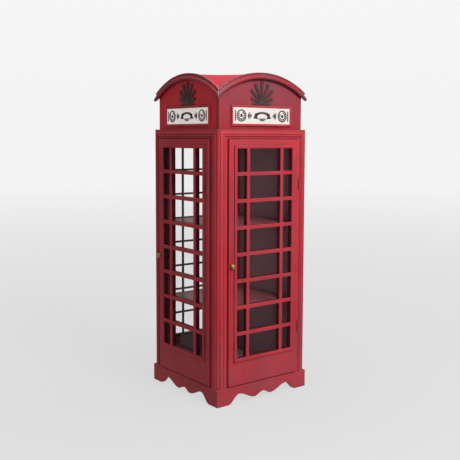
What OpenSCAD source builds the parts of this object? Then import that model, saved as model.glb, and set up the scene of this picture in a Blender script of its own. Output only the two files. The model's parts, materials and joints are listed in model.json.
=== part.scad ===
// Display cabinet in the form of a telephone booth. A square body stands on a scalloped plinth
// and carries a crown with an arched gable on each side. Two sides are hinged glazed doors,
// the back is glazed and fixed, and the right-hand side is boarded.
// Origin: middle of the footprint, at the floor. -Y is the front, -X the left, +Z is up.

/* [Overall] */
// Height over the tops of the four arches
total_h = 1400; // [1390:1:1430]
// Width and depth of the body over its corner posts
body_w = 486; // [484:1:490]
// Level of the top of the body, where the crown starts
body_top = 1162; // [1160:1:1168]

/* [Plinth] */
// Width and depth over the plinth boards
plinth_w = 498; // [496:1:504]
// Height of the plinth
plinth_h = 75; // [70:1:80]
// Thickness of a plinth board
plinth_t = 18; // [15:1:20]
// Length of the flat foot at each end of a board
foot_l = 60; // [50:1:70]
// Distance from the middle of a board to the top of its scallop
scallop_x = 132; // [120:1:145]
// Height of the scallop above the floor
scallop_h = 39; // [30:1:45]
// Distance from the middle to the hanging lobe
lobe_x = 45; // [35:1:55]
// Height of the lobe above the floor
lobe_h = 11; // [6:1:16]
// Height of the small notch in the middle
notch_h = 27; // [20:1:35]
// Thickness of the cabinet floor
floor_t = 22; // [18:1:24]
// Depth of the rebate round the edge of the floor, where the posts and panels stand
floor_rebate = 4; // [2:1:6]

/* [Body] */
// Thickness of the two arms of a corner post
post_t = 28; // [26:1:30]
// Rounding of the outer corner of a post
post_r = 11; // [8:1:12]
// Half width of the opening between two posts
opening_half = 194.5; // [194:0.1:195]
// Underside of the head frame
head_z = 1122.5; // [1122:0.1:1124]
// Thickness of the top board
top_t = 7; // [6:1:10]
// Half width of the moulding at its inner edge
mould_in = 207; // [204:1:210]
// Width of the moulding round each side
mould_w = 24; // [20:1:25]
// How far the moulding stands off the posts
mould_t = 5.5; // [4:0.5:7]
// Thickness of the board that closes the right-hand side
side_board_t = 12; // [9:1:16]

/* [Glazed sides] */
// Width of a door
door_w = 384; // [382:1:385]
// Underside of a door
door_z0 = 79; // [78:0.5:81]
// Top of a door
door_z1 = 1120; // [1119:0.5:1120]
// Thickness of a door
door_t = 28; // [26:1:30]
// How far a closed door stands off the posts
door_proud = 10; // [8:0.5:11]
// Width of the flat stiles
stile_w = 26; // [24:1:28]
// Width of the raised border between a stile and the panes
border_w = 16; // [14:1:17]
// How far the raised border stands off the stiles
border_proud = 5; // [3:0.5:7]
// Lowest edge of the panes
pane_z0 = 197; // [190:1:202]
// Highest edge of the panes
pane_z1 = 1081; // [1076:1:1084]
// Width of a glazing bar
bar_w = 16; // [12:1:18]
// Width of a glazing bar on the fixed back panel
back_bar_w = 9; // [8:1:12]
// Rows of panes
rows = 8; // [6:1:9]
// Width of the narrow panes at the sides
side_pane = 50; // [45:1:55]
// Thickness of a sheet of glass
glass_t = 3; // [3:1:4]

/* [Shelves] */
// Top of the lower shelf
shelf_lower_z = 404; // [395:1:412]
// Top of the upper shelf
shelf_upper_z = 752; // [740:1:758]
// Thickness of a shelf
shelf_t = 13; // [12:1:16]
// Diameter of a shelf peg
peg_d = 5; // [5:1:6]

/* [Crown] */
// Width and depth of the box under the arches
crown_w = 452; // [446:1:460]
// Thickness of a gable board
gable_t = 18; // [12:1:20]
// Radius over an arch
arch_r = 410; // [400:1:425]
// Radial height of an arch moulding, with its bead
arch_h = 28.5; // [27:0.5:31]
// How far the bead of an arch moulding stands off its gable
arch_out = 18; // [17:1:20]
// Step from the top of an arch moulding down to the roof skin
roof_step = 4; // [3:1:6]
// Thickness of the roof skin
roof_t = 8; // [6:1:10]
// Width of a sign, over its frame
sign_w = 330; // [320:1:340]
// Height of a sign, over its frame
sign_h = 87; // [80:1:90]
// Width of the sign frame's border
sign_border = 10; // [8:1:12]
// Underside of the sign frame
sign_z = 1175; // [1170:1:1178]

/* [Hardware] */
// Level of the knobs and catches
knob_z = 594; // [560:1:620]
// Diameter of a knob
knob_d = 21; // [18:1:24]
// How far a knob stands off its door
knob_l = 17.5; // [15:0.5:18]
// Level of the lower hinges, at their middle
hinge_lower_z = 285; // [260:1:310]
// Level of the upper hinges, at their middle
hinge_upper_z = 925; // [900:1:950]
// Length of a hinge
hinge_l = 50; // [40:1:60]
// Diameter of a hinge pin
pin_d = 3; // [2.5:0.5:3]
// Gap all round a pin in the knuckle that turns on it
pin_gap = 0.05; // [0.02:0.01:0.1]

/* [Hidden] */
$fn = 96;
eps = 0.01;

red = [0.70, 0.12, 0.16];
dark_red = [0.52, 0.08, 0.11];
graphite = [0.16, 0.13, 0.14];
cream = [0.92, 0.89, 0.80];
brass = [0.72, 0.55, 0.27];
steel = [0.62, 0.62, 0.60];
clear_glass = [0.75, 0.85, 0.86, 0.35];

body_half = body_w / 2;
plinth_half = plinth_w / 2;
crown_half = crown_w / 2;
door_half = door_w / 2;
post_in = body_half - post_t;

// Distances from the middle to the planes of a door or a fixed glazed panel
door_face = body_half + door_proud;
door_back = door_face - door_t;
border_face = door_face + border_proud;
bar_face = border_face - 2;
glass_back = door_back + 5;
glass_face = glass_back + glass_t;

// The rows and columns of panes
pane_half = door_half - stile_w - border_w;
row_h = (pane_z1 - pane_z0 - (rows - 1) * bar_w) / rows;
column_x = pane_half - side_pane - bar_w / 2;

// The arches share one centre line; the roof skin meets them a step below their tops
arch_z = total_h - arch_r;
arch_face = crown_half + arch_out;
roof_r = arch_r - roof_step;
roof_grid = 20;

// The hinge axis lies just clear of the door face, over the gap beside the hinge stile
leaf_t = 1;
knuckle_r = 2.4;
hinge_x = (door_half + opening_half) / 2;
hinge_y = door_face + knuckle_r + 0.4;
knuckle_gap = 0.4;
knuckle_l = (hinge_l - 2 * knuckle_gap) / 3;
leaf_front = hinge_y - knuckle_r - 0.6;

// Turns a piece drawn for the front onto side k: 0 front, 1 left, 2 back, 3 right
module side(k) {
    rotate([0, 0, -90 * k])
        children();
}

// Fills a shape drawn in x and z between two distances in front of the middle
module slab(outer, inner) {
    translate([0, -inner, 0])
        rotate([90, 0, 0])
            linear_extrude(outer - inner)
                children();
}

// A rectangle between two corners
module rect(x0, x1, z0, z1) {
    translate([x0, z0])
        square([x1 - x0, z1 - z0]);
}

// The quarter of the plan that belongs to the front, cut at 45 degrees for the mitres
module mitre_wedge(z0, z1) {
    translate([0, 0, z0])
        linear_extrude(z1 - z0)
            polygon([[0, 0], [-400, -400], [400, -400]]);
}

// The outline of the body in plan
module body_outline() {
    flat = body_half - post_r;
    union() {
        rect(-body_half, body_half, -flat, flat);
        rect(-flat, flat, -body_half, body_half);
        for (x = [-flat, flat], y = [-flat, flat])
            translate([x, y])
                circle(post_r);
    }
}

// Plinth board with a scalloped lower edge
function ease(t) = (1 - cos(180 * t)) / 2;
function apron(s) =
    s >= plinth_half - foot_l ? 0 :
    s >= scallop_x ? scallop_h * ease((plinth_half - foot_l - s) / (plinth_half - foot_l - scallop_x)) :
    s >= lobe_x ? lobe_h + (scallop_h - lobe_h) * ease((s - lobe_x) / (scallop_x - lobe_x)) :
    lobe_h + (notch_h - lobe_h) * ease((lobe_x - s) / lobe_x);

module plinth_board() {
    steps = 120;
    under = [
        for (i = [0 : steps])
            let (x = plinth_half * (2 * i / steps - 1))
            [x, apron(abs(x))]
    ];
    top = [[plinth_half, plinth_h], [-plinth_half, plinth_h]];
    color(red)
        intersection() {
            slab(plinth_half, plinth_half - plinth_t)
                polygon(concat(under, top));
            mitre_wedge(-1, plinth_h + 1);
        }
}

// Cabinet floor: the raised middle lies between the posts, and the rebated edge under them
module cabinet_floor() {
    half = plinth_half - plinth_t;
    inner = post_in - 1.5;
    z0 = plinth_h + floor_rebate - floor_t;
    color(dark_red)
        union() {
            translate([-half, -half, z0])
                cube([2 * half, 2 * half, plinth_h - z0]);
            translate([-inner, -inner, z0])
                cube([2 * inner, 2 * inner, floor_t]);
        }
}

// Corner post with two arms, a rounded outer corner and a quirk beside each moulding
module post() {
    quirk = 2;
    quirk_at = mould_in + mould_w + 0.5;
    color(red)
        difference() {
            translate([0, 0, plinth_h])
                linear_extrude(head_z - plinth_h)
                    difference() {
                        intersection() {
                            body_outline();
                            union() {
                                rect(-body_half, -opening_half, -body_half, -post_in);
                                rect(-body_half, -post_in, -body_half, -opening_half);
                            }
                        }
                        translate([-quirk_at - quirk, -body_half - 1])
                            square([quirk, quirk + 1]);
                        translate([-body_half - 1, -quirk_at - quirk])
                            square([quirk + 1, quirk]);
                    }
            for (z = peg_levels)
                translate([-post_in - peg_in, -peg_y, z])
                    rotate([0, 90, 0])
                        cylinder(h = peg_in + 1, d = peg_d);
        }
}

peg_in = 10;
peg_out = 9;
peg_y = opening_half + 8;
peg_levels = [shelf_lower_z - shelf_t - peg_d / 2, shelf_upper_z - shelf_t - peg_d / 2];

module shelf_pegs() {
    color(brass)
        for (k = [0 : 3], z = peg_levels)
            side(k)
                translate([-post_in - peg_in, -peg_y, z])
                    rotate([0, 90, 0])
                        cylinder(h = peg_in + peg_out, d = peg_d);
}

module shelf(z) {
    half = post_in - 1.5;
    color(red)
        translate([-half, -half, z - shelf_t])
            cube([2 * half, 2 * half, shelf_t]);
}

module head_frame() {
    color(red)
        translate([0, 0, head_z])
            linear_extrude(body_top - top_t - head_z)
                difference() {
                    body_outline();
                    rect(-post_in, post_in, -post_in, post_in);
                }
}

module top_board() {
    color(red)
        translate([0, 0, body_top - top_t])
            linear_extrude(top_t)
                body_outline();
}

// Moulding up both posts and across the head, mitred at the corners, in two steps
module moulding_band(w0, w1, t) {
    z_top = body_top - top_t - mould_w;
    slab(body_half + t, body_half)
        difference() {
            rect(-mould_in - w1, mould_in + w1, plinth_h, z_top + w1);
            rect(-mould_in - w0, mould_in + w0, plinth_h - 1, z_top + w0);
        }
}

module moulding() {
    color(red)
        union() {
            moulding_band(0, mould_w, mould_t * 0.45);
            moulding_band(1.5, mould_w - 8, mould_t);
            moulding_band(mould_w - 8, mould_w - 2, mould_t * 0.75);
        }
}

module side_board() {
    color(dark_red)
        slab(post_in + side_board_t, post_in)
            rect(-opening_half, opening_half, plinth_h, head_z);
}

// Frame round the panes: two stiles, a top rail and a deep bottom rail
module glazed_frame(half, z0, z1) {
    in_half = pane_half + border_w;
    color(red)
        slab(door_face, door_back)
            difference() {
                rect(-half, half, z0, z1);
                rect(-in_half, in_half, pane_z0 - border_w, pane_z1 + border_w);
            }
}

// Raised border, and glazing bars of a given width whose faces lie at a given distance
module glazing_bars(w, face) {
    in_half = pane_half + border_w;
    color(red)
        union() {
            slab(border_face, glass_face)
                difference() {
                    rect(-in_half, in_half, pane_z0 - border_w, pane_z1 + border_w);
                    rect(-pane_half, pane_half, pane_z0, pane_z1);
                }
            slab(face, glass_face)
                union() {
                    for (x = [-column_x, column_x])
                        rect(x - w / 2, x + w / 2, pane_z0 - 3, pane_z1 + 3);
                    for (i = [1 : rows - 1])
                        let (z = pane_z0 + i * (row_h + bar_w) - bar_w / 2)
                            rect(-pane_half - 3, pane_half + 3, z - w / 2, z + w / 2);
                }
        }
}

module glass_sheet() {
    in_half = pane_half + border_w;
    color(clear_glass)
        slab(glass_face, glass_back)
            rect(-in_half, in_half, pane_z0 - border_w, pane_z1 + border_w);
}

// Turned knob: a base, a neck and a flattened ball
module knob() {
    r = knob_d / 2;
    color(brass)
        translate([-(door_half - stile_w / 2), -door_face, knob_z])
            rotate([90, 0, 0])
                rotate_extrude()
                    intersection() {
                        union() {
                            square([r * 0.7, 2]);
                            square([r * 0.42, knob_l - 4]);
                            translate([0, knob_l - 6.2])
                                circle(6.2);
                            translate([r - 4, knob_l - 6.2])
                                circle(4);
                            translate([0, knob_l - 10.2])
                                square([r - 4, 8]);
                        }
                        square([r, knob_l]);
                    }
}

// One hinge pin with a ball at each end
module pin(z) {
    translate([hinge_x, -hinge_y, z])
        union() {
            translate([0, 0, -hinge_l / 2 - 1])
                cylinder(h = hinge_l + 2, d = pin_d);
            for (s = [-1, 1])
                translate([0, 0, s * (hinge_l / 2 + 1.6)])
                    rotate_extrude()
                        intersection() {
                            circle(2.1);
                            translate([0, -1.6])
                                square([3, 3.2]);
                        }
        }
}

// Knuckle i of three, counted from the bottom, on a hinge with its middle at z
function knuckle_z(i, z) = z - hinge_l / 2 + i * (knuckle_l + knuckle_gap);

// Leaf fixed to the post: it carries the end knuckles and holds the pin
module post_leaf(z) {
    difference() {
        union() {
            translate([opening_half - leaf_t, -leaf_front, z - hinge_l / 2])
                cube([leaf_t, leaf_front - door_back, hinge_l]);
            for (i = [0, 2]) {
                translate([hinge_x, -hinge_y, knuckle_z(i, z)])
                    cylinder(h = knuckle_l, r = knuckle_r);
                translate([opening_half - leaf_t, -hinge_y, knuckle_z(i, z)])
                    cube([leaf_t, hinge_y - door_back, knuckle_l]);
            }
        }
        translate([hinge_x, -hinge_y, z - hinge_l])
            cylinder(h = 2 * hinge_l, d = pin_d);
    }
}

// Leaf fixed to the door: it carries the middle knuckle, which turns on the pin
module door_leaf(z) {
    difference() {
        union() {
            translate([door_half, -leaf_front, z - hinge_l / 2])
                cube([leaf_t, leaf_front - door_back, hinge_l]);
            translate([hinge_x, -hinge_y, knuckle_z(1, z)])
                cylinder(h = knuckle_l, r = knuckle_r);
            translate([door_half, -hinge_y, knuckle_z(1, z)])
                cube([leaf_t, hinge_y - door_back, knuckle_l]);
        }
        translate([hinge_x, -hinge_y, z - hinge_l])
            cylinder(h = 2 * hinge_l, r = pin_d / 2 + pin_gap);
    }
}

module hinge_leaves() {
    color(brass)
        for (k = [0, 1], z = [hinge_lower_z, hinge_upper_z])
            side(k)
                post_leaf(z);
}

module hinge_pins() {
    color(brass)
        for (k = [0, 1], z = [hinge_lower_z, hinge_upper_z])
            side(k)
                pin(z);
}

module door_leaves() {
    color(brass)
        for (z = [hinge_lower_z, hinge_upper_z])
            door_leaf(z);
}

// Magnetic catch behind a latch stile, and the plate it holds
strike_t = 1.5;
strike_w = 14;
strike_x = door_half - 2;
catch_end = 180;

module door_catch() {
    nose = door_back - strike_t - 0.3;
    union() {
        translate([-post_in + 1, -post_in, knob_z - 20])
            cube([post_in - catch_end, 14, 40]);
        translate([-opening_half + 1, -nose, knob_z - 16])
            cube([opening_half - catch_end - 1, nose - post_in + eps, 32]);
    }
}

module door_catches() {
    color(graphite)
        for (k = [0, 1])
            side(k)
                door_catch();
}

module strike() {
    color(steel)
        translate([-strike_x, -door_back, knob_z - 14])
            cube([strike_w, strike_t, 28]);
}

// Gable board: a straight board with a rounded top
module gable(half) {
    color(red)
        slab(crown_half, crown_half - gable_t)
            intersection() {
                rect(-half, half, body_top, total_h);
                translate([0, arch_z - roof_t])
                    circle(roof_r - 0.3);
            }
}

// Arch moulding: a nearly upright face over a large round bead; mitred at the eaves
module arch() {
    bead_r = 8;
    bead_at = arch_r - arch_h + bead_r;
    color(red)
        intersection() {
            translate([0, 0, arch_z])
                rotate([90, 0, 0])
                    rotate_extrude($fn = 180)
                        union() {
                            polygon([
                                [bead_at - 2, crown_half], [bead_at - 2, arch_face - bead_r],
                                [bead_at + 6, arch_face - 5.5], [arch_r - 1, arch_face - 6.5],
                                [arch_r, arch_face - 7.5], [arch_r, crown_half]
                            ]);
                            translate([bead_at, arch_face - bead_r])
                                circle(bead_r);
                        }
            mitre_wedge(body_top, total_h + 1);
        }
}

// Roof skin: level along both middle lines, falling only to the four corners
function fall(s) = roof_r - sqrt(pow(roof_r, 2) - pow(s, 2));
function roof_level(x, y) = arch_z + roof_r - fall(x) * fall(y) / fall(crown_half);

module roof_skin() {
    n = roof_grid;
    m = n + 1;
    at = [for (i = [0 : n]) crown_half * (2 * i / n - 1)];
    over = [for (j = [0 : n], i = [0 : n]) [at[i], at[j], roof_level(at[i], at[j])]];
    under = [for (p = over) p - [0, 0, roof_t]];
    upper = [
        for (j = [0 : n - 1], i = [0 : n - 1])
            let (a = j * m + i)
            each [[a, a + m, a + m + 1], [a, a + m + 1, a + 1]]
    ];
    lower = [for (f = upper) [for (v = [2, 1, 0]) f[v] + m * m]];
    rim = concat(
        [for (i = [0 : n - 1]) i],
        [for (j = [0 : n - 1]) j * m + n],
        [for (i = [0 : n - 1]) n * m + n - i],
        [for (j = [0 : n - 1]) (n - j) * m]
    );
    count = len(rim);
    wall = [
        for (i = [0 : count - 1])
            let (a = rim[i], b = rim[(i + 1) % count])
            each [[a, b, b + m * m], [a, b + m * m, a + m * m]]
    ];
    color(red)
        polyhedron(points = concat(over, under), faces = concat(upper, lower, wall));
}

module sign_frame() {
    b = sign_border;
    color(red)
        slab(crown_half + 7, crown_half)
            difference() {
                rect(-sign_w / 2, sign_w / 2, sign_z, sign_z + sign_h);
                rect(b - sign_w / 2, sign_w / 2 - b, sign_z + b, sign_z + sign_h - b);
            }
}

module sign_plate() {
    b = sign_border;
    color(cream)
        slab(crown_half + 4, crown_half)
            rect(b - sign_w / 2, sign_w / 2 - b, sign_z + b, sign_z + sign_h - b);
}

// Palmette: a fan of round-ended petals over a boss, on a short bar
petal_step = 24;
function petal_l(i) = 92 - 3.3 * pow(abs(i), 2);
function petal_r(i) = 8.5 - 0.5 * abs(i);

module petal(length, r) {
    at = length - r;
    lean = asin(r / at);
    tip = [r * cos(lean), at - r * sin(lean)];
    polygon([[-1.5, 0], [1.5, 0], tip, [-tip[0], tip[1]]]);
    translate([0, at])
        circle(r, $fn = 48);
}

module ornament() {
    base = sign_z + sign_h + 3;
    boss_r = 15;
    color(graphite)
        slab(crown_half + 4, crown_half)
            translate([0, base])
                union() {
                    for (i = [-3 : 3])
                        translate([0, 8])
                            rotate(-i * petal_step)
                                petal(petal_l(i), petal_r(i));
                    intersection() {
                        translate([0, 8])
                            circle(boss_r);
                        rect(-boss_r, boss_r, 0, 30);
                    }
                    rect(-44, 44, 0, 7);
                    for (x = [-44, 44])
                        translate([x, 3.5])
                            circle(5, $fn = 48);
                }
}

side(0) plinth_board();  // plinth_front
side(1) plinth_board();  // plinth_left
side(2) plinth_board();  // plinth_back
side(3) plinth_board();  // plinth_right
cabinet_floor();
side(0) post();  // post_front_left
side(1) post();  // post_back_left
side(2) post();  // post_back_right
side(3) post();  // post_front_right
head_frame();
top_board();
side(0) moulding();  // moulding_front
side(1) moulding();  // moulding_left
side(2) moulding();  // moulding_back
side(3) moulding();  // moulding_right
side(0) gable(crown_half);  // gable_front
side(1) gable(crown_half - gable_t);  // gable_left
side(2) gable(crown_half);  // gable_back
side(3) gable(crown_half - gable_t);  // gable_right
side(0) arch();  // arch_front
side(1) arch();  // arch_left
side(2) arch();  // arch_back
side(3) arch();  // arch_right
roof_skin();
side(0) sign_frame();  // sign_frame_front
side(1) sign_frame();  // sign_frame_left
side(2) sign_frame();  // sign_frame_back
side(3) sign_frame();  // sign_frame_right
side(0) sign_plate();  // sign_plate_front
side(1) sign_plate();  // sign_plate_left
side(2) sign_plate();  // sign_plate_back
side(3) sign_plate();  // sign_plate_right
side(0) ornament();  // ornament_front
side(1) ornament();  // ornament_left
side(2) ornament();  // ornament_back
side(3) ornament();  // ornament_right
shelf(shelf_lower_z);  // shelf_lower
shelf(shelf_upper_z);  // shelf_upper
shelf_pegs();
side(3) side_board();
side(2) glazed_frame(opening_half, plinth_h, head_z);  // back_frame
side(2) glazing_bars(back_bar_w, glass_face + 10);  // back_bars
side(2) glass_sheet();  // back_glass
hinge_leaves();
hinge_pins();
door_catches();
side(0) glazed_frame(door_half, door_z0, door_z1);  // front_door_frame
side(0) glazing_bars(bar_w, bar_face);  // front_door_bars
side(0) glass_sheet();  // front_door_glass
side(0) knob();  // front_door_knob
side(0) door_leaves();  // front_door_leaves
side(0) strike();  // front_door_strike
side(1) glazed_frame(door_half, door_z0, door_z1);  // left_door_frame
side(1) glazing_bars(bar_w, bar_face);  // left_door_bars
side(1) glass_sheet();  // left_door_glass
side(1) knob();  // left_door_knob
side(1) door_leaves();  // left_door_leaves
side(1) strike();  // left_door_strike
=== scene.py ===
"""Looks for the telephone-booth cabinet: painted boards, glazing, signs, hardware and a pale studio."""
import json
import math

import bmesh
import bpy
from mathutils import Matrix, Vector

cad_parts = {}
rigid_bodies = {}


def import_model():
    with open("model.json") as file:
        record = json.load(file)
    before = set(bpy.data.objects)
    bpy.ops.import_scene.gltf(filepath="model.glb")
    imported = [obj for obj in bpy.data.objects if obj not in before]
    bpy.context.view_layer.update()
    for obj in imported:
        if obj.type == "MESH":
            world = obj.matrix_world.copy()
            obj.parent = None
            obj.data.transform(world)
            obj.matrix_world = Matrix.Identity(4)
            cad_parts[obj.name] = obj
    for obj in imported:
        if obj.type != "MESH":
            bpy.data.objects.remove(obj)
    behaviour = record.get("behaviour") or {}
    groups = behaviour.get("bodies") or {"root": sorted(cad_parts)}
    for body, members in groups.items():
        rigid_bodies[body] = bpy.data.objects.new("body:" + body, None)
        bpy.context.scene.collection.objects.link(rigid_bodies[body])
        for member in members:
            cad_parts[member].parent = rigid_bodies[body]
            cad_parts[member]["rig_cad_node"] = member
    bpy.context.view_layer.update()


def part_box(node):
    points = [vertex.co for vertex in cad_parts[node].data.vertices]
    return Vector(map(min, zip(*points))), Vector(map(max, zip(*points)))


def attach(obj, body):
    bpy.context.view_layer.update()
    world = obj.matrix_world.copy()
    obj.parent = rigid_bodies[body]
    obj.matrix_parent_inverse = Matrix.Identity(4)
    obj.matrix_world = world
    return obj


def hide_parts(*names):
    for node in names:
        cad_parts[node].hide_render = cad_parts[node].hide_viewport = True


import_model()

MM = 0.001
SIDES = ("front", "left", "back", "right")
# smallest step, which keeps two faces apart
HAIR = 0.1 * MM


# ---------------------------------------------------------------- sizes taken from the frame
frame_lo, frame_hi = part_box("front_door_frame")
bars_lo, bars_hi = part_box("front_door_bars")
glass_lo, glass_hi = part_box("front_door_glass")
back_lo, back_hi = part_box("back_frame")
gable_lo, gable_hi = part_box("gable_front")
arch_lo, arch_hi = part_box("arch_front")
roof_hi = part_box("roof_skin")[1]
sign_lo, sign_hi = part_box("sign_frame_front")
plate_lo, plate_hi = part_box("sign_plate_front")
mould_lo, mould_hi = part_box("moulding_front")
post_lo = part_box("post_front_left")[0]
hinge_lo, hinge_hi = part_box("front_door_leaves")

# a FACE or BACK is a distance in front of the middle, a HALF is half a width, and CROWN is both
BODY_HALF = -post_lo.y
DOOR_FACE = -frame_lo.y
DOOR_BACK = -frame_hi.y
DOOR_HALF = frame_hi.x
BORDER_FACE = -bars_lo.y
BAR_FACE = BORDER_FACE - 2 * MM
GLASS_FACE = -glass_lo.y
GLASS_BACK = -glass_hi.y
BORDER_HALF = bars_hi.x
BORDER = 16 * MM
PANE_HALF = BORDER_HALF - BORDER
PANE_Z0 = bars_lo.z + BORDER
PANE_Z1 = bars_hi.z - BORDER
BAR = 16 * MM
BACK_BAR = 9 * MM
BACK_BAR_FACE = GLASS_FACE + 10 * MM
ROWS = 8
SIDE_PANE = 50 * MM
COLUMN_X = PANE_HALF - SIDE_PANE - BAR / 2
MOULD_OUT = mould_hi.x
MOULD_W = 24 * MM
MOULD_IN = MOULD_OUT - MOULD_W
MOULD_Z = mould_hi.z - MOULD_W
CROWN = -gable_lo.y
ARCH_R = 0.410
ARCH_Z = arch_hi.z - ARCH_R
ARCH_H = 28.5 * MM
ARCH_OUT = -arch_lo.y - CROWN
ROOF_R = ARCH_R - (arch_hi.z - roof_hi.z)
ROOF_SKIN = 8 * MM


# ---------------------------------------------------------------- materials
def nodes_of(name):
    """A new material, its emptied node tree and its output node."""
    mat = bpy.data.materials.new(name)
    mat.use_nodes = True
    tree = mat.node_tree
    tree.nodes.clear()
    out = tree.nodes.new("ShaderNodeOutputMaterial")
    return mat, tree, out


class Net:
    """Short calls for building a material's nodes."""

    def __init__(self, tree):
        self.tree = tree

    def new(self, kind, **values):
        """A new node, with some of its settings."""
        n = self.tree.nodes.new("ShaderNode" + kind)
        for k, v in values.items():
            setattr(n, k, v)
        return n

    def link(self, a, b):
        self.tree.links.new(a, b)

    def place(self, scale=(1, 1, 1)):
        """The object's own coordinates, scaled."""
        coord = self.new("TexCoord")
        m = self.new("Mapping")
        m.inputs["Scale"].default_value = scale
        self.link(coord.outputs["Object"], m.inputs["Vector"])
        return m.outputs["Vector"]

    def axes(self):
        """The object's own X, Y and Z as three separate values."""
        split = self.new("SeparateXYZ")
        self.link(self.place(), split.inputs[0])
        return split.outputs

    def noise(self, vector, scale, detail=3.0, rough=0.5, lo=0.35, hi=0.65):
        """Noise stretched so that lo to hi becomes 0 to 1."""
        n = self.new("TexNoise")
        n.inputs["Scale"].default_value = scale
        n.inputs["Detail"].default_value = detail
        n.inputs["Roughness"].default_value = rough
        self.link(vector, n.inputs["Vector"])
        return self.span(n.outputs[0], lo, hi)

    def span(self, value, lo, hi, to_lo=0.0, to_hi=1.0):
        """A value from lo to hi moved onto to_lo to to_hi, and held there outside."""
        r = self.new("MapRange")
        r.clamp = True
        for i, v in ((1, lo), (2, hi), (3, to_lo), (4, to_hi)):
            r.inputs[i].default_value = v
        self.link(value, r.inputs[0])
        return r.outputs[0]

    def math(self, op, a, b=None):
        """A sum on numbers or sockets."""
        m = self.new("Math", operation=op)
        for i, v in enumerate((a, b)):
            if v is None:
                continue
            if isinstance(v, (int, float)):
                m.inputs[i].default_value = v
            else:
                self.link(v, m.inputs[i])
        return m.outputs[0]

    def mix(self, factor, a, b):
        """Colour a where factor is 0 and b where it is 1."""
        m = self.new("Mix", data_type="RGBA")
        if isinstance(factor, (int, float)):
            m.inputs[0].default_value = factor
        else:
            self.link(factor, m.inputs[0])
        for i, v in ((6, a), (7, b)):
            if isinstance(v, tuple):
                m.inputs[i].default_value = (*v, 1.0)
            else:
                self.link(v, m.inputs[i])
        return m.outputs[2]

    def edges(self, radius):
        """About 1 along a convex or concave edge, 0 on a flat."""
        bev = self.new("Bevel", samples=4)
        bev.inputs["Radius"].default_value = radius
        geo = self.new("NewGeometry")
        dot = self.new("VectorMath", operation="DOT_PRODUCT")
        self.link(bev.outputs[0], dot.inputs[0])
        self.link(geo.outputs["Normal"], dot.inputs[1])
        return self.span(dot.outputs["Value"], 0.995, 0.86)

    def hollows(self, distance):
        """About 1 deep in a groove or corner, 0 in the open."""
        ao = self.new("AmbientOcclusion", samples=6)
        ao.inputs["Distance"].default_value = distance
        return self.span(ao.outputs["AO"], 0.85, 0.35)

    def bump(self, height, strength, distance):
        """A normal that follows a small height."""
        b = self.new("Bump")
        b.inputs["Strength"].default_value = strength
        b.inputs["Distance"].default_value = distance
        self.link(height, b.inputs["Height"])
        return b.outputs["Normal"]

    def surface(self, out, colour, rough, normal, specular, metallic=0.0):
        """An ordinary solid surface, joined to the material's output."""
        p = self.new("BsdfPrincipled")
        self.link(colour, p.inputs["Base Color"])
        self.link(rough, p.inputs["Roughness"])
        self.link(normal, p.inputs["Normal"])
        p.inputs["Specular IOR Level"].default_value = specular
        p.inputs["Metallic"].default_value = metallic
        self.link(p.outputs[0], out.inputs["Surface"])
        return p


def along(axis, stretch=0.06):
    """Mapping scale that draws brush marks out along one axis."""
    return tuple(stretch if i == axis else 1.0 for i in range(3))


# paints, in linear red, green and blue, from the red ones to the charcoal ones inside
RED = (0.385, 0.0240, 0.0340)
RED_DEEP = (0.275, 0.0170, 0.0260)
RED_BRIGHT = (0.480, 0.0380, 0.0520)
RED_CLEAN = (0.640, 0.0180, 0.0320)
PATINA = (0.150, 0.0600, 0.0760)
# the near black is glaze on worn edges, and glaze with painted shade in hollows
GLAZE_AND_SHADE = (0.050, 0.010, 0.014)
# the dark red-black on the inner parts of the bars' and border's sides is dark paint and painted shade
INSIDE_EDGE = (0.080, 0.010, 0.014)
SCUFF = (0.42, 0.34, 0.35)
# the pale pink is wear on the edges and painted highlights
RUB_AND_HIGHLIGHT = (0.560, 0.1200, 0.1450)
# the pinkish grey is dust and a painted reflection
DUST_AND_REFLECTION = (0.340, 0.2200, 0.2350)
HAZE = (0.300, 0.1050, 0.1300)
INSIDE = (0.235, 0.100, 0.122)
INSIDE_DEEP = (0.190, 0.080, 0.100)
INSIDE_BRIGHT = (0.265, 0.116, 0.140)
# the pale charcoal is painted light on the side board
INSIDE_PAINTED_LIGHT = (0.520, 0.285, 0.330)
# the near black is painted shade in the inner corners
INSIDE_SHADE = (0.08, 0.028, 0.035)
# the grey on the cabinet floor is grey paint and a painted reflection
INSIDE_GREY_AND_REFLECTION = (0.52, 0.46, 0.52)
# heights between which the haze near the floor fades out
LOW_FOOT = 30 * MM
LOW_TOP = 360 * MM


def depth_from(n, k):
    """Distance in front of the middle, measured towards side k."""
    out = n.axes()[1 if k % 2 == 0 else 0]
    return n.math("MULTIPLY", out, -1.0) if k in (0, 1) else out


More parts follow.
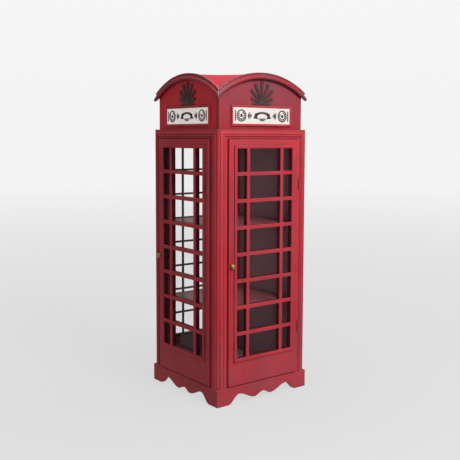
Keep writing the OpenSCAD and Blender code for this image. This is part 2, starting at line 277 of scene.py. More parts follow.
def paint(name, axis, wear, glaze_and_shade, scuffs=0.0, inward=None, rub_and_highlight=0.0, patina=0.45,
          fade=(), reach=9 * MM, sheen=(0.42, 0.58), tone=0.0, bright=0.0, clean=0.0,
          dust_and_reflection=0.0, low=0.0):
    """Brushed red paint, with darker glaze and painted shade in hollows and glaze along worn edges.

    wear is how dark the edges are and glaze_and_shade how dark the hollows are, as far out as reach;
    scuffs rubs the mitred ends of a moulding bare and sheen is the range of roughness.
    inward=(side, where it is dark, where it is red) lets it darken towards the inside, with dark paint
    and painted shade; rub_and_highlight rubs the open edges pale, as wear and as painted highlights,
    patina lays grey-purple clouds, and each fade=(height where they are full, height where they end,
    share) adds more of them. tone deepens the red, bright lifts it, clean makes it purer,
    dust_and_reflection greys it with dust and a painted reflection, and low lays a paler haze
    near the floor."""
    mat, tree, out = nodes_of(name)
    n = Net(tree)
    strokes = n.noise(n.place(along(axis)), 260.0, 4.0, 0.6, 0.30, 0.72)
    cloud = n.noise(n.place(), 5.0, 3.0, 0.55)
    grain = n.noise(n.place(), 420.0, 2.0, 0.5, 0.2, 0.8)
    smear = n.noise(n.place(along(axis, 0.22)), 26.0, 5.0, 0.62, 0.46, 0.74)
    base = n.mix(n.math("MULTIPLY", strokes, 0.60), RED, RED_DEEP)
    base = n.mix(n.math("MULTIPLY", cloud, 0.50), base, RED_BRIGHT)
    cover = n.math("MULTIPLY", smear, patina)
    if fade or low:
        level = n.axes()[2]
    for full, none, share in fade:
        cover = n.math("ADD", cover, n.math("MULTIPLY", n.span(level, none, full), share))
    base = n.mix(bright, base, RED_BRIGHT) if bright else base
    base = n.mix(clean, base, RED_CLEAN) if clean else base
    base = n.mix(tone, base, GLAZE_AND_SHADE) if tone else base
    base = n.mix(cover, base, PATINA)
    # grey of dust, and a painted reflection
    base = n.mix(dust_and_reflection, base, DUST_AND_REFLECTION) if dust_and_reflection else base
    if low:
        mist = n.math("MULTIPLY", n.span(level, LOW_TOP, LOW_FOOT), n.span(cloud, 0, 1, low * 0.7, low))
        base = n.mix(mist, base, HAZE)
    broken = n.noise(n.place(along(axis, 0.35)), 55.0, 5.0, 0.65, 0.38, 0.60)
    rim = n.edges(2.6 * MM)
    edge = n.math("MULTIPLY", rim, n.math("MULTIPLY", broken, wear))
    # glaze rubbed into the hollows, and painted shade there
    hollow = n.math("MULTIPLY", n.hollows(reach), glaze_and_shade)
    dark = n.math("MAXIMUM", edge, hollow)
    colour = n.mix(dark, base, GLAZE_AND_SHADE)
    # pale open edges: wear, and painted highlights along them
    if rub_and_highlight:
        rubbed = n.noise(n.place(along(axis, 0.3)), 38.0, 4.0, 0.6, 0.36, 0.56)
        open_edge = n.math("MULTIPLY", rim, n.math("SUBTRACT", 1.0, n.hollows(5 * MM)))
        pale = n.math("MULTIPLY", n.math("MULTIPLY", open_edge, rubbed), rub_and_highlight)
        colour = n.mix(pale, colour, RUB_AND_HIGHLIGHT)
    # dark towards the inside: dark paint, and painted shade
    if inward:
        side, at_dark, at_red = inward
        depth = n.math("ADD", depth_from(n, side), n.math("MULTIPLY", broken, 1.2 * MM))
        colour = n.mix(n.span(depth, at_red, at_dark), colour, INSIDE_EDGE)
    if scuffs:
        # bare pale rubbing on the edges where two mitred mouldings meet
        axes = n.axes()
        ax = n.math("ABSOLUTE", axes[0])
        ay = n.math("ABSOLUTE", axes[1])
        near = n.span(n.math("ABSOLUTE", n.math("SUBTRACT", ax, ay)), 130 * MM, 20 * MM)
        patch = n.noise(n.place(), 150.0, 5.0, 0.7, 0.42, 0.54)
        rub = n.math("MULTIPLY", n.math("MULTIPLY", near, patch), n.math("MULTIPLY", rim, scuffs))
        colour = n.mix(rub, colour, SCUFF)
    rough = n.span(n.math("ADD", strokes, grain), 0.0, 2.0, *sheen)
    height = n.math("ADD", n.math("MULTIPLY", strokes, 0.7), n.math("MULTIPLY", grain, 0.3))
    n.surface(out, colour, rough, n.bump(height, 0.22, 0.35 * MM), 0.16)
    return mat


def inside_paint(name, axis, rough=0.5, grey_and_reflection=0.0, painted_light=0.0):
    """Charcoal-brown paint on the inner faces, with painted shade in their corners.

    grey_and_reflection fades the brown to grey, grey paint with a painted reflection in it, and
    painted_light makes it paler, which is painted light."""
    mat, tree, out = nodes_of(name)
    n = Net(tree)
    strokes = n.noise(n.place(along(axis)), 220.0, 4.0, 0.6, 0.3, 0.7)
    cloud = n.noise(n.place(), 6.0, 3.0)
    colour = n.mix(strokes, INSIDE, INSIDE_DEEP)
    colour = n.mix(n.math("MULTIPLY", cloud, 0.5), colour, INSIDE_BRIGHT)
    # painted light, paling the whole board
    colour = n.mix(painted_light, colour, INSIDE_PAINTED_LIGHT) if painted_light else colour
    # painted shade in the inner corners
    colour = n.mix(n.math("MULTIPLY", n.hollows(20 * MM), 0.5), colour, INSIDE_SHADE)
    # grey paint, with a painted reflection in it
    colour = n.mix(grey_and_reflection, colour, INSIDE_GREY_AND_REFLECTION) if grey_and_reflection else colour
    specular = 0.25 if rough > 0.4 else 0.6
    sheen = n.span(strokes, 0, 1, rough, rough + 0.14)
    n.surface(out, colour, sheen, n.bump(strokes, 0.2, 0.3 * MM), specular)
    return mat


def brass(name, light=(0.56, 0.37, 0.15), dark=(0.34, 0.21, 0.085), tarnish_and_shade=0.8, metallic=1.0):
    """Aged brass with dark tarnish and painted shade in its hollows; light and dark are its two tones."""
    mat, tree, out = nodes_of(name)
    n = Net(tree)
    cloud = n.noise(n.place(), 120.0, 4.0, 0.6)
    fine = n.noise(n.place((1, 1, 0.2)), 900.0, 2.0)
    colour = n.mix(cloud, light, dark)
    # dark tarnish, and painted shade, in the hollows
    colour = n.mix(n.math("MULTIPLY", n.hollows(4 * MM), tarnish_and_shade), colour, (0.06, 0.035, 0.02))
    n.surface(out, colour, n.span(fine, 0, 1, 0.26, 0.42), n.bump(fine, 0.12, 0.1 * MM), 0.5, metallic)
    return mat


def steel(name):
    """Zinc-plated steel with a fine grain."""
    mat, tree, out = nodes_of(name)
    n = Net(tree)
    fine = n.noise(n.place((1, 1, 0.05)), 1200.0, 2.0)
    colour = n.mix(fine, (0.55, 0.55, 0.54), (0.42, 0.42, 0.42))
    n.surface(out, colour, n.span(fine, 0, 1, 0.28, 0.42), n.bump(fine, 0.1, 0.1 * MM), 0.5, 1.0)
    return mat


def plastic(name):
    """Dark moulded plastic."""
    mat, tree, out = nodes_of(name)
    n = Net(tree)
    fine = n.noise(n.place(), 1500.0, 2.0)
    colour = n.mix(fine, (0.030, 0.026, 0.026), (0.022, 0.018, 0.018))
    n.surface(out, colour, n.span(fine, 0, 1, 0.45, 0.6), n.bump(fine, 0.25, 0.1 * MM), 0.4)
    return mat


# painted light: the sign plates glow, though no lamp is behind them
SIGN_GLOW = 1.80
GLASS_IOR = 1.30


def enamel(name):
    """Cream opal sign glass with a painted glow, though no lamp is behind it, and painted shade, a little
    yellow, towards its border.
    """
    mat, tree, out = nodes_of(name)
    n = Net(tree)
    cloud = n.noise(n.place(), 14.0, 4.0, 0.6)
    fine = n.noise(n.place(), 700.0, 2.0)
    colour = n.mix(cloud, (0.290, 0.271, 0.256), (0.266, 0.245, 0.228))
    # painted shade along the frame round the border
    colour = n.mix(n.math("MULTIPLY", n.hollows(9 * MM), 0.45), colour, (0.17, 0.14, 0.11))
    shader = n.surface(out, colour, n.span(fine, 0, 1, 0.30, 0.40), n.bump(fine, 0.06, 0.1 * MM), 0.4)
    # painted light: the plate glows with its own colour
    n.link(colour, shader.inputs["Emission Color"])
    shader.inputs["Emission Strength"].default_value = SIGN_GLOW
    return mat


def graphite(name):
    """Dark paint of the ornaments and the marks on the signs, rubbed thin on its edges."""
    mat, tree, out = nodes_of(name)
    n = Net(tree)
    cloud = n.noise(n.place(), 160.0, 4.0, 0.6)
    colour = n.mix(cloud, (0.040, 0.020, 0.023), (0.062, 0.030, 0.034))
    rub = n.math("MULTIPLY", n.edges(1.4 * MM), n.math("MULTIPLY", cloud, 0.45))
    colour = n.mix(rub, colour, (0.16, 0.11, 0.11))
    n.surface(out, colour, n.span(cloud, 0, 1, 0.42, 0.58), n.bump(cloud, 0.2, 0.2 * MM), 0.3)
    return mat


def clear_glass(name):
    """Thin clear sheet: see-through, with a fresnel reflection that faint wiping marks soften."""
    mat, tree, out = nodes_of(name)
    n = Net(tree)
    wipes = n.noise(n.place((1, 1, 0.35)), 18.0, 4.0, 0.6)
    clear = n.new("BsdfTransparent")
    n.link(n.mix(wipes, (0.995, 0.998, 0.996), (0.980, 0.986, 0.983)), clear.inputs[0])
    gloss = n.new("BsdfGlossy")
    n.link(n.span(wipes, 0, 1, 0.015, 0.07), gloss.inputs["Roughness"])
    fres = n.new("Fresnel")
    fres.inputs["IOR"].default_value = GLASS_IOR
    geo = n.new("NewGeometry")
    outer = n.math("SUBTRACT", 1.0, geo.outputs["Backfacing"])
    mixer = n.new("MixShader")
    n.link(n.math("MULTIPLY", fres.outputs[0], outer), mixer.inputs[0])
    n.link(clear.outputs[0], mixer.inputs[1])
    n.link(gloss.outputs[0], mixer.inputs[2])
    n.link(mixer.outputs[0], out.inputs["Surface"])
    return mat


# how much of the pale haze the paints near the floor take
HAZY = 0.21
# (height where the patina is full, height where it ends, share)
GABLE_TOP = (gable_hi.z - 25 * MM, sign_lo.z, 0.50)
ENDS = (arch_lo.z + 6 * MM, arch_lo.z + 42 * MM, 0.80)
# the bars' sides are red in front of SIDE_RED and dark behind SIDE_DARK, with dark paint and painted shade
SIDE_DARK = BAR_FACE - 6 * MM
SIDE_RED = BAR_FACE - 2.4 * MM
BACK_SIDE_DARK = BACK_BAR_FACE - 4 * MM
BACK_SIDE_RED = BACK_BAR_FACE - 1.2 * MM
BORDER_DARK = BORDER_FACE - 4 * MM
BORDER_RED = BORDER_FACE - 1.5 * MM

# the pale open edges of these paints are wear and painted highlights, and their hollows take glaze and
# painted shade
RED_Z = paint("red_upright", 2, 0.30, 0.30, rub_and_highlight=0.40, reach=4 * MM, bright=0.25, clean=0.20, low=HAZY)
STILE = paint("red_stile", 2, 0.25, 0.12, rub_and_highlight=0.55, reach=3 * MM, low=HAZY)
RED_X = paint("red_across_x", 0, 0.30, 0.45, rub_and_highlight=0.85, low=HAZY)
RED_Y = paint("red_across_y", 1, 0.30, 0.45, rub_and_highlight=0.85, low=HAZY)
GABLE = paint("red_gable_front", 0, 0.35, 0.60, fade=[GABLE_TOP], tone=0.26)
GABLE_PLAIN = paint("red_gable", 2, 0.25, 0.45, patina=0.05, clean=0.65)
ROOF = paint("red_roof", 0, 0.30, 0.45, rub_and_highlight=0.25, patina=0.25, clean=0.15, tone=0.10, sheen=(0.66, 0.80))
TRIM_X = paint("red_trim_x", 0, 1.00, 0.95, 0.95, rub_and_highlight=0.20, patina=1.2, fade=[ENDS], tone=0.38)
TRIM_Y = paint("red_trim_y", 1, 1.00, 0.95, 0.95, rub_and_highlight=0.20, patina=1.1, fade=[ENDS], tone=0.12)
FINE_Z = paint("red_moulding_z", 2, 0.40, 0.55, rub_and_highlight=0.30, reach=5 * MM, bright=0.20, low=HAZY)
# the shelves are greyed by dust and by a painted reflection
SHELF = paint("red_shelf", 0, 0.3, 0.4, rub_and_highlight=0.4, patina=0.9, sheen=(0.24, 0.36), dust_and_reflection=0.35)
# glaze and painted shadow for the crease round the raised border
RIM_GLAZE_AND_SHADOW = paint("red_rim_glaze_and_shadow", 2, 0.2, 1.0, tone=0.80)
BAR_PAINT = [
    paint("red_bars_front", 2, 0.2, 0.2, inward=(0, SIDE_DARK, SIDE_RED), rub_and_highlight=0.8),
    paint("red_bars_left", 2, 0.2, 0.2, inward=(1, SIDE_DARK, SIDE_RED), rub_and_highlight=0.8),
    paint("red_thin_bars_back", 2, 0.2, 0.2, inward=(2, BACK_SIDE_DARK, BACK_SIDE_RED), rub_and_highlight=0.3),
]
BORDER_PAINT = [
    paint(f"red_border_{s}", 2, 0.2, 0.9, inward=(k, BORDER_DARK, BORDER_RED), rub_and_highlight=0.6)
    for k, s in enumerate(SIDES[:3])
]
DARK_Z = inside_paint("charcoal_upright", 2)
DARK_X = inside_paint("charcoal_across", 0)
# the floor board's grey is partly a painted reflection
FLOOR_BOARD = inside_paint("grey_floor_board", 0, 0.36, 0.90)
# the side board is paled by painted light
SIDE_BOARD = inside_paint("charcoal_side_board", 2, painted_light=0.48)
BRASS = brass("antique_brass")
PAINTED_BRASS = brass("painted_over_brass", (0.330, 0.050, 0.050), (0.230, 0.034, 0.034), 0.30, 0.25)
STEEL = steel("zinc_plate")
CATCH = plastic("dark_plastic")
CREAM = enamel("cream_enamel")
MARK = graphite("graphite_paint")
GLASS = clear_glass("clear_glass_sheet")


def across(k, x_mat, y_mat):
    """Material for a piece that runs across side k: along X on front and back, along Y on the others."""
    return x_mat if k % 2 == 0 else y_mat


# ---------------------------------------------------------------- mesh building
def turned(k):
    """Turns what is drawn for the front onto side k."""
    return Matrix.Rotation(-k * math.pi / 2, 4, "Z")


def piece(name, bm, mats, body, nodes, k=0, bevel=0.0, segments=2, angle=35.0):
    """Finishes a bmesh as a piece that rides on a body and stands for CAD nodes."""
    bmesh.ops.recalc_face_normals(bm, faces=bm.faces)
    me = bpy.data.meshes.new(name)
    bm.transform(turned(k))
    bm.to_mesh(me)
    bm.free()
    for p in me.polygons:
        p.use_smooth = True
    me.set_sharp_from_angle(angle=math.radians(angle))
    obj = bpy.data.objects.new(name, me)
    bpy.context.scene.collection.objects.link(obj)
    for m in mats if isinstance(mats, (list, tuple)) else [mats]:
        me.materials.append(m)
    if bevel:
        b = obj.modifiers.new("rounded edges", "BEVEL")
        b.width = bevel
        b.segments = segments
        b.limit_method = "ANGLE"
        b.angle_limit = math.radians(angle)
        b.harden_normals = True
    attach(obj, body)
    if nodes:
        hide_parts(*nodes)


def add_box(bm, x0, x1, y0, y1, z0, z1):
    """A box between two corners."""
    vs = [bm.verts.new((x, y, z)) for x in (x0, x1) for y in (y0, y1) for z in (z0, z1)]
    quads = ((0, 1, 3, 2), (4, 6, 7, 5), (0, 4, 5, 1), (2, 3, 7, 6), (0, 2, 6, 4), (1, 5, 7, 3))
    for q in quads:
        bm.faces.new([vs[i] for i in q])


def add_grid(bm, rows, close_rows=False, close_cols=False, caps=False):
    """Faces between rows of points; each row becomes one line of vertices."""
    vs = [[bm.verts.new(p) for p in r] for r in rows]
    nr, nc = len(vs), len(vs[0])
    for i in range(nr if close_rows else nr - 1):
        for j in range(nc if close_cols else nc - 1):
            a, b = vs[i], vs[(i + 1) % nr]
            bm.faces.new((a[j], a[(j + 1) % nc], b[(j + 1) % nc], b[j]))
    if caps:
        bm.faces.new([r[0] for r in vs])
        bm.faces.new([r[-1] for r in reversed(vs)])
    return vs


def cad_object(node):
    """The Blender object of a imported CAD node."""
    for o in bpy.context.scene.objects:
        if o.get("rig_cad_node") == node:
            return o
    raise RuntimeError(f"no object for {node}")


def rounded(name, node, mats, bevel, segments=2, inside=None):
    """A board of the cabinet as packed, with its edges eased.

    inside(centre, normal) is True for the faces that take the second material."""
    bm = bmesh.new()
    bm.from_mesh(cad_object(node).data)
    bmesh.ops.remove_doubles(bm, verts=bm.verts, dist=1e-6)
    bmesh.ops.dissolve_limit(bm, angle_limit=math.radians(0.5), verts=bm.verts, edges=bm.edges)
    for f in bm.faces:
        f.material_index = 1 if inside and inside(f.calc_center_median(), f.normal) else 0
    piece(name, bm, mats, "cabinet", [node], 0, bevel, segments)


# ---------------------------------------------------------------- plinth, posts and boards
for k, s in enumerate(SIDES):
    rounded(f"plinth_board_{s}", f"plinth_{s}", across(k, RED_X, RED_Y), 1.6 * MM)
rounded("cabinet_floor_board", "cabinet_floor", FLOOR_BOARD, 0.8 * MM)


def faces_in(c, n):
    """True for a face that looks towards the inside of the cabinet."""
    radial = Vector((c.x, c.y)).normalized()
    return Vector((n.x, n.y)).dot(radial) < -0.3


def faces_down(c, n):
    """True for a face that looks at the floor."""
    return n.z < -0.5


for name in ("front_left", "back_left", "back_right", "front_right"):
    rounded(f"corner_{name}", f"post_{name}", RED_Z, 0.9 * MM)
rounded("head_rails", "head_frame", [RED_X, DARK_X], 0.9 * MM,
        inside=lambda c, n: faces_in(c, n) or faces_down(c, n))
rounded("crown_ledge", "top_board", [RED_X, DARK_X], 2.0 * MM, 3, inside=faces_down)
rounded("side_board_panel", "side_board", [RED_Z, SIDE_BOARD], 0.8 * MM, inside=lambda c, n: n.x < -0.5)
for s in ("lower", "upper"):
    rounded(f"shelf_board_{s}", f"shelf_{s}", SHELF, 1.2 * MM, 3)


# ---------------------------------------------------------------- mouldings round each side
def moulding_profile():
    """Across the moulding from its inner edge, and how far it stands off the posts."""
    bead, groove, lip, steps = 7.4, 1.6, 1.2, 8
    pts = [(0.0, 0.0), (0.0, 2.0), (0.8, 2.4)]
    for i in range(steps + 1):
        a = math.pi * (1 - i / steps)
        pts.append((lip + bead / 2 + bead / 2 * math.cos(a), 2.4 + 3.1 * math.sin(a)))
    start = lip + bead + groove
    for i in range(steps + 1):
        t = i / steps
        pts.append((start + t * (23.2 - start), 2.2 + 2.9 * math.cos(t * math.pi / 2) ** 0.8))
    return [(a * MM, p * MM) for a, p in pts] + [(MOULD_W, 1.8 * MM), (MOULD_W, 0.0)]


def u_sweep(bm, profile, inner_x, inner_z, foot_z, base_y):
    """Sweeps a profile up one post, across the head and down the other, with mitres."""
    rows = []
    for a, p in profile:
        x, z, y = inner_x + a, inner_z + a, -(base_y + p)
        rows.append([(-x, y, foot_z), (-x, y, z), (x, y, z), (x, y, foot_z)])
    add_grid(bm, rows, close_rows=True, caps=True)


for k, s in enumerate(SIDES):
    bm = bmesh.new()
    u_sweep(bm, moulding_profile(), MOULD_IN, MOULD_Z, mould_lo.z, BODY_HALF)
    piece(f"side_moulding_{s}", bm, FINE_Z, "cabinet", [f"moulding_{s}"], k, angle=28.0)


# ---------------------------------------------------------------- glazed frames
def ring(x, d, lo, hi):
    """Corners of a rectangle at a distance d in front of the middle."""
    return [(-x, -d, lo), (x, -d, lo), (x, -d, hi), (-x, -d, hi)]


def inset_rings(profile, half_x, z0, z1):
    """One rectangle for each (inset, distance) point."""
    return [ring(half_x - a, d, z0 + a, z1 - a) for a, d in profile]


def ring_sweep(bm, profile, half_x, z0, z1):
    """Sweeps (inset, distance) points round a rectangle, with mitred corners."""
    add_grid(bm, inset_rings(profile, half_x, z0, z1), close_rows=True, close_cols=True)


def border_profile():
    """Raised border: straight outer side, rounded crown, and an ovolo down to the panes."""
    top, steps = BORDER_FACE, 6
    pts = [(0.0, GLASS_FACE), (0.0, top - 1.6 * MM), (0.5 * MM, top - 0.6 * MM), (1.6 * MM, top - 0.2 * MM)]
    pts += [(6.0 * MM, top), (9.6 * MM, top), (11.2 * MM, top - 0.4 * MM)]
    for i in range(steps + 1):
        a = i / steps * math.pi / 2
        pts.append(((11.8 + 4.2 * math.sin(a)) * MM, top - (0.8 + 4.6 * (1 - math.cos(a))) * MM))
    return pts + [(BORDER, GLASS_FACE)]


# bottom and top of the opening in the boards, which the border fills
IN_Z0 = PANE_Z0 - BORDER
IN_Z1 = PANE_Z1 + BORDER
# width of the line of glaze and painted shadow round the border, and at the border's foot
LINE = 0.8 * MM
LINE_FOOT = 1.8 * MM
# how far the bars run into the border, and how far their cross bars lie behind the uprights
BAR_REACH = 2.5 * MM
BAR_STEP = 0.5 * MM
# width of the putty on the glass
PUTTY = 6 * MM


def eased_edge():
    """Inset and distance round the outside of a frame, from its back to its rounded front edge."""
    r, chamfer, steps = 3 * MM, 0.8 * MM, 5
    pts = [(chamfer, DOOR_BACK), (0.0, DOOR_BACK + chamfer)]
    for i in range(steps + 1):
        a = i / steps * math.pi / 2
        pts.append((r * (1 - math.cos(a)), DOOR_FACE - r * (1 - math.sin(a))))
    return pts


def stiles_and_rails(prefix, body, node, half, z0, z1, k):
    """One ring of boards, dark at the back, with a thin line of glaze and painted shadow round the border.
    """
    bm = bmesh.new()
    rows = inset_rings(eased_edge(), half, z0, z1)
    for d, side, foot in ((DOOR_FACE, LINE, LINE_FOOT), (DOOR_FACE, 0.0, 0.0), (DOOR_BACK, 0.0, 0.0)):
        rows.append(ring(BORDER_HALF + side, d, IN_Z0 - foot, IN_Z1 + side))
    add_grid(bm, rows, close_rows=True, close_cols=True)
    bm.normal_update()
    for f in bm.faces:
        c = f.calc_center_median()
        near = max(abs(c.x) - BORDER_HALF - LINE, IN_Z0 - LINE_FOOT - c.z, c.z - IN_Z1 - LINE) < 0.0
        f.material_index = 1 if c.y > -DOOR_BACK - HAIR else 2 if near else 0
    piece(f"{prefix}_stiles_and_rails", bm, [STILE, DARK_Z, RIM_GLAZE_AND_SHADOW], body, [node], k, angle=28.0)


def raised_border(prefix, body, k):
    """The moulded border round the panes, with outer sides darkened by glaze and painted shade."""
    bm = bmesh.new()
    ring_sweep(bm, border_profile(), BORDER_HALF, IN_Z0, IN_Z1)
    for f in bm.faces:
        c = f.calc_center_median()
        outer = max(abs(c.x) - BORDER_HALF, IN_Z0 - c.z, c.z - IN_Z1) > -2 * HAIR
        f.material_index = 1 if outer else 0
    piece(f"{prefix}_border", bm, [BORDER_PAINT[k], RIM_GLAZE_AND_SHADOW], body, [], k, angle=28.0)


def glazing_bars(prefix, body, node, k, bar, face):
    """Two upright bars and the cross bars between the rows of panes, dark at the back."""
    bm = bmesh.new()
    for x in (-COLUMN_X, COLUMN_X):
        add_box(bm, x - bar / 2, x + bar / 2, -face, -GLASS_FACE, PANE_Z0 - BAR_REACH, PANE_Z1 + BAR_REACH)
    row = (PANE_Z1 - PANE_Z0 - (ROWS - 1) * BAR) / ROWS
    end = PANE_HALF + BAR_REACH
    for i in range(1, ROWS):
        z = PANE_Z0 + i * (row + BAR) - BAR / 2
        add_box(bm, -end, end, -face + BAR_STEP, -GLASS_FACE - HAIR, z - bar / 2, z + bar / 2)
    bm.normal_update()
    for f in bm.faces:
        f.material_index = 1 if f.normal.y > 0.5 else 0
    piece(f"{prefix}_glazing_bars", bm, [BAR_PAINT[k], DARK_Z], body, [node], k, 2.0 * MM, 3)


def putty_line(prefix, body, k):
    """A sloped bead of putty round the back of the glass."""
    bm = bmesh.new()
    foot = DOOR_BACK + HAIR
    putty = [(0.0, foot), (0.0, GLASS_BACK), (PUTTY, GLASS_BACK), (PUTTY * 0.4, foot)]
    ring_sweep(bm, putty, BORDER_HALF, IN_Z0, IN_Z1)
    piece(f"{prefix}_putty", bm, DARK_Z, body, [], k, angle=28.0)


def glazed_side(prefix, stem, body, half, z0, z1, k, bar, face):
    """All the drawn pieces of one glazed side; stem begins the names of its CAD nodes."""
    stiles_and_rails(prefix, body, f"{stem}_frame", half, z0, z1, k)
    raised_border(prefix, body, k)
    glazing_bars(prefix, body, f"{stem}_bars", k, bar, face)
    putty_line(prefix, body, k)


for k, door in enumerate(("front_door", "left_door")):
    glazed_side(door, door, door, DOOR_HALF, frame_lo.z, frame_hi.z, k, BAR, BAR_FACE)
glazed_side("back_panel", "back", "cabinet", back_hi.x, back_lo.z, back_hi.z, 2, BACK_BAR, BACK_BAR_FACE)


# ---------------------------------------------------------------- crown
for k, s in enumerate(SIDES):
    rounded(f"gable_board_{s}", f"gable_{s}", GABLE if k == 0 else GABLE_PLAIN, 1.2 * MM)


def arch_profile():
    """Radius and distance from the middle: lip, quirk, hollow face, quirk and large round bead."""
    bead = 8 * MM
    at_r, at_d = ARCH_R - ARCH_H + bead, CROWN + ARCH_OUT - bead
    lip = CROWN + ARCH_OUT - 6.0 * MM
    pts = [(ARCH_R, CROWN), (ARCH_R, lip - 1.4 * MM), (ARCH_R - 0.8 * MM, lip - 0.3 * MM)]
    pts += [(ARCH_R - 2.0 * MM, lip), (ARCH_R - 4.2 * MM, lip - 0.3 * MM)]
    pts.append((ARCH_R - 4.6 * MM, lip - 1.6 * MM))
    top, foot = ARCH_R - 5.4 * MM, at_r + bead - 0.6 * MM
    hollow_steps, bead_steps = 4, 14
    for i in range(hollow_steps + 1):
        t = i / hollow_steps
        pts.append((top - t * (top - foot), lip - (1.6 - 1.2 * t + 0.9 * math.sin(math.pi * t)) * MM))
    pts.append((at_r + bead - 1.4 * MM, lip - 2.4 * MM))
    for i in range(bead_steps + 1):
        a = math.radians(70 - i * 16.5)
        pts.append((at_r + bead * math.sin(a), at_d + bead * math.cos(a)))
    return pts + [(at_r - 2 * MM, CROWN)]


def arch_piece(bm):
    """Sweeps the profile along the arch, each point as far as the mitre at the eaves."""
    steps = 72
    rows = []
    for r, d in arch_profile():
        limit = math.asin(min(1.0, d / r))
        row = []
        for j in range(steps + 1):
            a = limit * (2 * j / steps - 1)
            row.append((r * math.sin(a), -d, ARCH_Z + r * math.cos(a)))
        rows.append(row)
    add_grid(bm, rows, close_rows=True, caps=True)


for k, s in enumerate(SIDES):
    bm = bmesh.new()
    arch_piece(bm)
    piece(f"arch_moulding_{s}", bm, across(k, TRIM_X, TRIM_Y), "cabinet", [f"arch_{s}"], k, angle=32.0)


def roof_level(x, y):
    """Height of the roof's top, which follows the arches on all four sides."""
    def fall(v):
        return ROOF_R - math.sqrt(ROOF_R**2 - v**2)

    return ARCH_Z + ROOF_R - fall(x) * fall(y) / fall(CROWN)


def rim(grid):
    """The points round the outside of a square grid, in order."""
    n = len(grid) - 1
    return (
        [grid[0][i] for i in range(n)]
        + [grid[i][n] for i in range(n)]
        + [grid[n][n - i] for i in range(n)]
        + [grid[n - i][0] for i in range(n)]
    )


def roof_shell():
    """The curved skin: an upper and a lower sheet, closed round their rims."""
    bm = bmesh.new()
    cells = 48
    at = [CROWN * (2 * i / cells - 1) for i in range(cells + 1)]
    upper = add_grid(bm, [[(x, y, roof_level(x, y)) for x in at] for y in at])
    lower = add_grid(bm, [[(x, y, roof_level(x, y) - ROOF_SKIN) for x in at] for y in at])
    above, below = rim(upper), rim(lower)
    for i in range(len(above)):
        j = (i + 1) % len(above)
        bm.faces.new((above[i], above[j], below[j], below[i]))
    piece("roof_shell", bm, ROOF, "cabinet", ["roof_skin"], angle=40.0)


roof_shell()


# ---------------------------------------------------------------- signs and ornaments
def sign_profile():
    """Inset and distance of the sign frame: rounded rim, slope and a step to the plate."""
    base, top = CROWN, -sign_lo.y
    edge = 10 * MM
    return [
        (0.0, base), (0.0, top - 2.2 * MM), (0.7 * MM, top - 0.7 * MM), (2.2 * MM, top), (4.2 * MM, top),
        (5.0 * MM, top - 0.9 * MM), (7.6 * MM, top - 1.6 * MM), (9.4 * MM, top - 2.4 * MM),
        (edge, top - 3.0 * MM), (edge, base),
    ]


def disc(bm, x, z, r, y0, y1, n):
    """A flat round plate with n corners."""
    turns = [t * math.tau / n for t in range(n)]
    rows = [[(x + r * math.sin(a), y, z + r * math.cos(a)) for a in turns] for y in (y0, y1)]
    vs = add_grid(bm, rows, close_cols=True)
    bm.faces.new(vs[0])
    bm.faces.new(list(reversed(vs[1])))


def ribbon(bm, points, width, y0, y1):
    """A flat stroke along points in x and z; width(0 to 1) is half its width there."""
    left, right = [], []
    for i, (x, z) in enumerate(points):
        x0, z0 = points[max(i - 1, 0)]
        x1, z1 = points[min(i + 1, len(points) - 1)]
        dx, dz = x1 - x0, z1 - z0
        size = math.hypot(dx, dz)
        w = width(i / (len(points) - 1))
        left.append((x - dz / size * w, z + dx / size * w))
        right.append((x + dz / size * w, z - dx / size * w))
    loop = left + right[::-1]
    vs = [[bm.verts.new((x, y, z)) for x, z in loop] for y in (y0, y1)]
    n = len(loop)
    for i in range(n):
        j = (i + 1) % n
        bm.faces.new((vs[0][i], vs[0][j], vs[1][j], vs[1][i]))
    bm.faces.new(vs[0])
    bm.faces.new(list(reversed(vs[1])))


def arc(cx, cz, r, a0, a1, n=20):
    """Points along an arc, with angles in degrees from straight up."""
    turns = [math.radians(a0 + (a1 - a0) * i / n) for i in range(n + 1)]
    return [(cx + r * math.sin(a), cz + r * math.cos(a)) for a in turns]


# marks on a sign: distances in front of the middle, then sizes and places from the sign's middle
MARK_BACK = CROWN + 3.9 * MM
MARK_FACE = CROWN + 4.7 * MM
CRADLE_BAR = 2.4 * MM
SOUND_X, SOUND_STEP = 52 * MM, 7 * MM
DIAL_X, DIAL_R, DIAL_LINE = 112 * MM, 23 * MM, 2.6 * MM
HOLES_AT, HOLE_R, HUB_R = 15.5 * MM, 3.6 * MM, 6.8 * MM
END_X, END_UP, END_BAR = 144 * MM, 22 * MM, 2.8 * MM


def handset(bm, z):
    """A bowed grip between two cups."""
    span, sag = 34 * MM, 9 * MM
    grip_r = (span**2 + sag**2) / (2 * sag)
    half_a = math.degrees(math.asin(span / grip_r))
    grip = arc(0, z + 13 * MM - grip_r, grip_r, -half_a, half_a)
    ribbon(bm, grip, lambda t: (6.0 - 2.0 * math.sin(math.pi * t)) * MM, -MARK_FACE, -MARK_BACK)
    for s in (-1, 1):
        cup = [(s * 33 * MM, z + 9 * MM), (s * 35.5 * MM, z - 3 * MM), (s * 36 * MM, z - 12 * MM)]
        ribbon(bm, cup, lambda t: (6.5 + 6.5 * t * t) * MM, -MARK_FACE, -MARK_BACK)


def dial(bm, x, z):
    """A hub and ten finger holes in an open ring."""
    ribbon(bm, arc(x, z, DIAL_R, 0.5, 359.5, 48), lambda t: DIAL_LINE, -MARK_FACE, -MARK_BACK)
    for i in range(10):
        a = math.radians(30 + 30 * i)
        hole_x, hole_z = x + HOLES_AT * math.sin(a), z + HOLES_AT * math.cos(a)
        disc(bm, hole_x, hole_z, HOLE_R, -MARK_FACE, -MARK_BACK, 20)
    disc(bm, x, z, HUB_R, -MARK_FACE, -MARK_BACK, 28)


